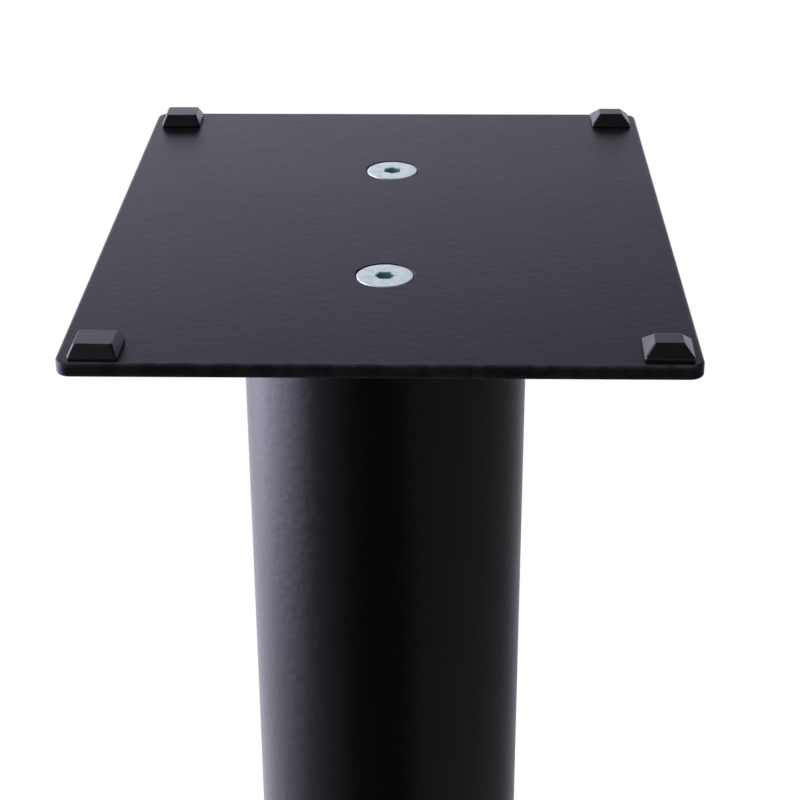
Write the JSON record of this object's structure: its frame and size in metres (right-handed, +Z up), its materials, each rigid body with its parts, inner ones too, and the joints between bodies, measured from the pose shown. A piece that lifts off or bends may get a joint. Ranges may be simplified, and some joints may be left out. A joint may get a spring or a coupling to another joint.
{
  "type": "speaker stand",
  "caption": "Floor stand for a bookshelf speaker: steel top plate with corner rubber pads, tandem round columns and a heavy base plate on adjustable locknutted floor spikes.",
  "frame": {"origin": "on the floor under the middle of the stand, the bottom centre of its box, where the spikes' tips stand", "axes": "+X to the right, +Y to the back, away from the listener, +Z up along the columns"},
  "size_m": [0.25, 0.3, 0.6039],
  "materials": {
    "powder_coat": "satin black powder coat, fine texture",
    "bare_steel": "mill finish, welded",
    "zinc_plate": "bright blue-white zinc plate",
    "pad_rubber": "satin moulded rubber",
    "spike_steel": "turned and nickel-plated steel"
  },
  "bodies": {
    "stand": {"top_plate": "powder_coat", "base_plate": "powder_coat", "front_column": "powder_coat", "front_column_upper_anchor": "bare_steel", "front_column_lower_anchor": "bare_steel", "rear_column": "powder_coat", "rear_column_upper_anchor": "bare_steel", "rear_column_lower_anchor": "bare_steel", "top_screw_front": "zinc_plate", "base_screw_front": "zinc_plate", "top_screw_rear": "zinc_plate", "base_screw_rear": "zinc_plate", "top_pad_front_left": "pad_rubber", "top_pad_front_right": "pad_rubber", "top_pad_rear_left": "pad_rubber", "top_pad_rear_right": "pad_rubber"},
    "spike_front_left": {"floor_spike_front_left": "spike_steel"},
    "locknut_front_left": {"spike_locknut_front_left": "spike_steel"},
    "spike_front_right": {"floor_spike_front_right": "spike_steel"},
    "locknut_front_right": {"spike_locknut_front_right": "spike_steel"},
    "spike_rear_left": {"floor_spike_rear_left": "spike_steel"},
    "locknut_rear_left": {"spike_locknut_rear_left": "spike_steel"},
    "spike_rear_right": {"floor_spike_rear_right": "spike_steel"},
    "locknut_rear_right": {"spike_locknut_rear_right": "spike_steel"}
  },
  "joints": [
    {"name": "spike_front_left_height", "type": "slide", "parent": "stand", "child": "spike_front_left", "axis": [0, 0, 1], "range_m": [-0.006, 0.003]},
    {"name": "locknut_front_left_release", "type": "slide", "parent": "stand", "child": "locknut_front_left", "axis": [0, 0, 1], "range_m": [-0.005, 0]},
    {"name": "spike_front_right_height", "type": "slide", "parent": "stand", "child": "spike_front_right", "axis": [0, 0, 1], "range_m": [-0.006, 0.003]},
    {"name": "locknut_front_right_release", "type": "slide", "parent": "stand", "child": "locknut_front_right", "axis": [0, 0, 1], "range_m": [-0.005, 0]},
    {"name": "spike_rear_left_height", "type": "slide", "parent": "stand", "child": "spike_rear_left", "axis": [0, 0, 1], "range_m": [-0.006, 0.003]},
    {"name": "locknut_rear_left_release", "type": "slide", "parent": "stand", "child": "locknut_rear_left", "axis": [0, 0, 1], "range_m": [-0.005, 0]},
    {"name": "spike_rear_right_height", "type": "slide", "parent": "stand", "child": "spike_rear_right", "axis": [0, 0, 1], "range_m": [-0.006, 0.003]},
    {"name": "locknut_rear_right_release", "type": "slide", "parent": "stand", "child": "locknut_rear_right", "axis": [0, 0, 1], "range_m": [-0.005, 0]}
  ]
}
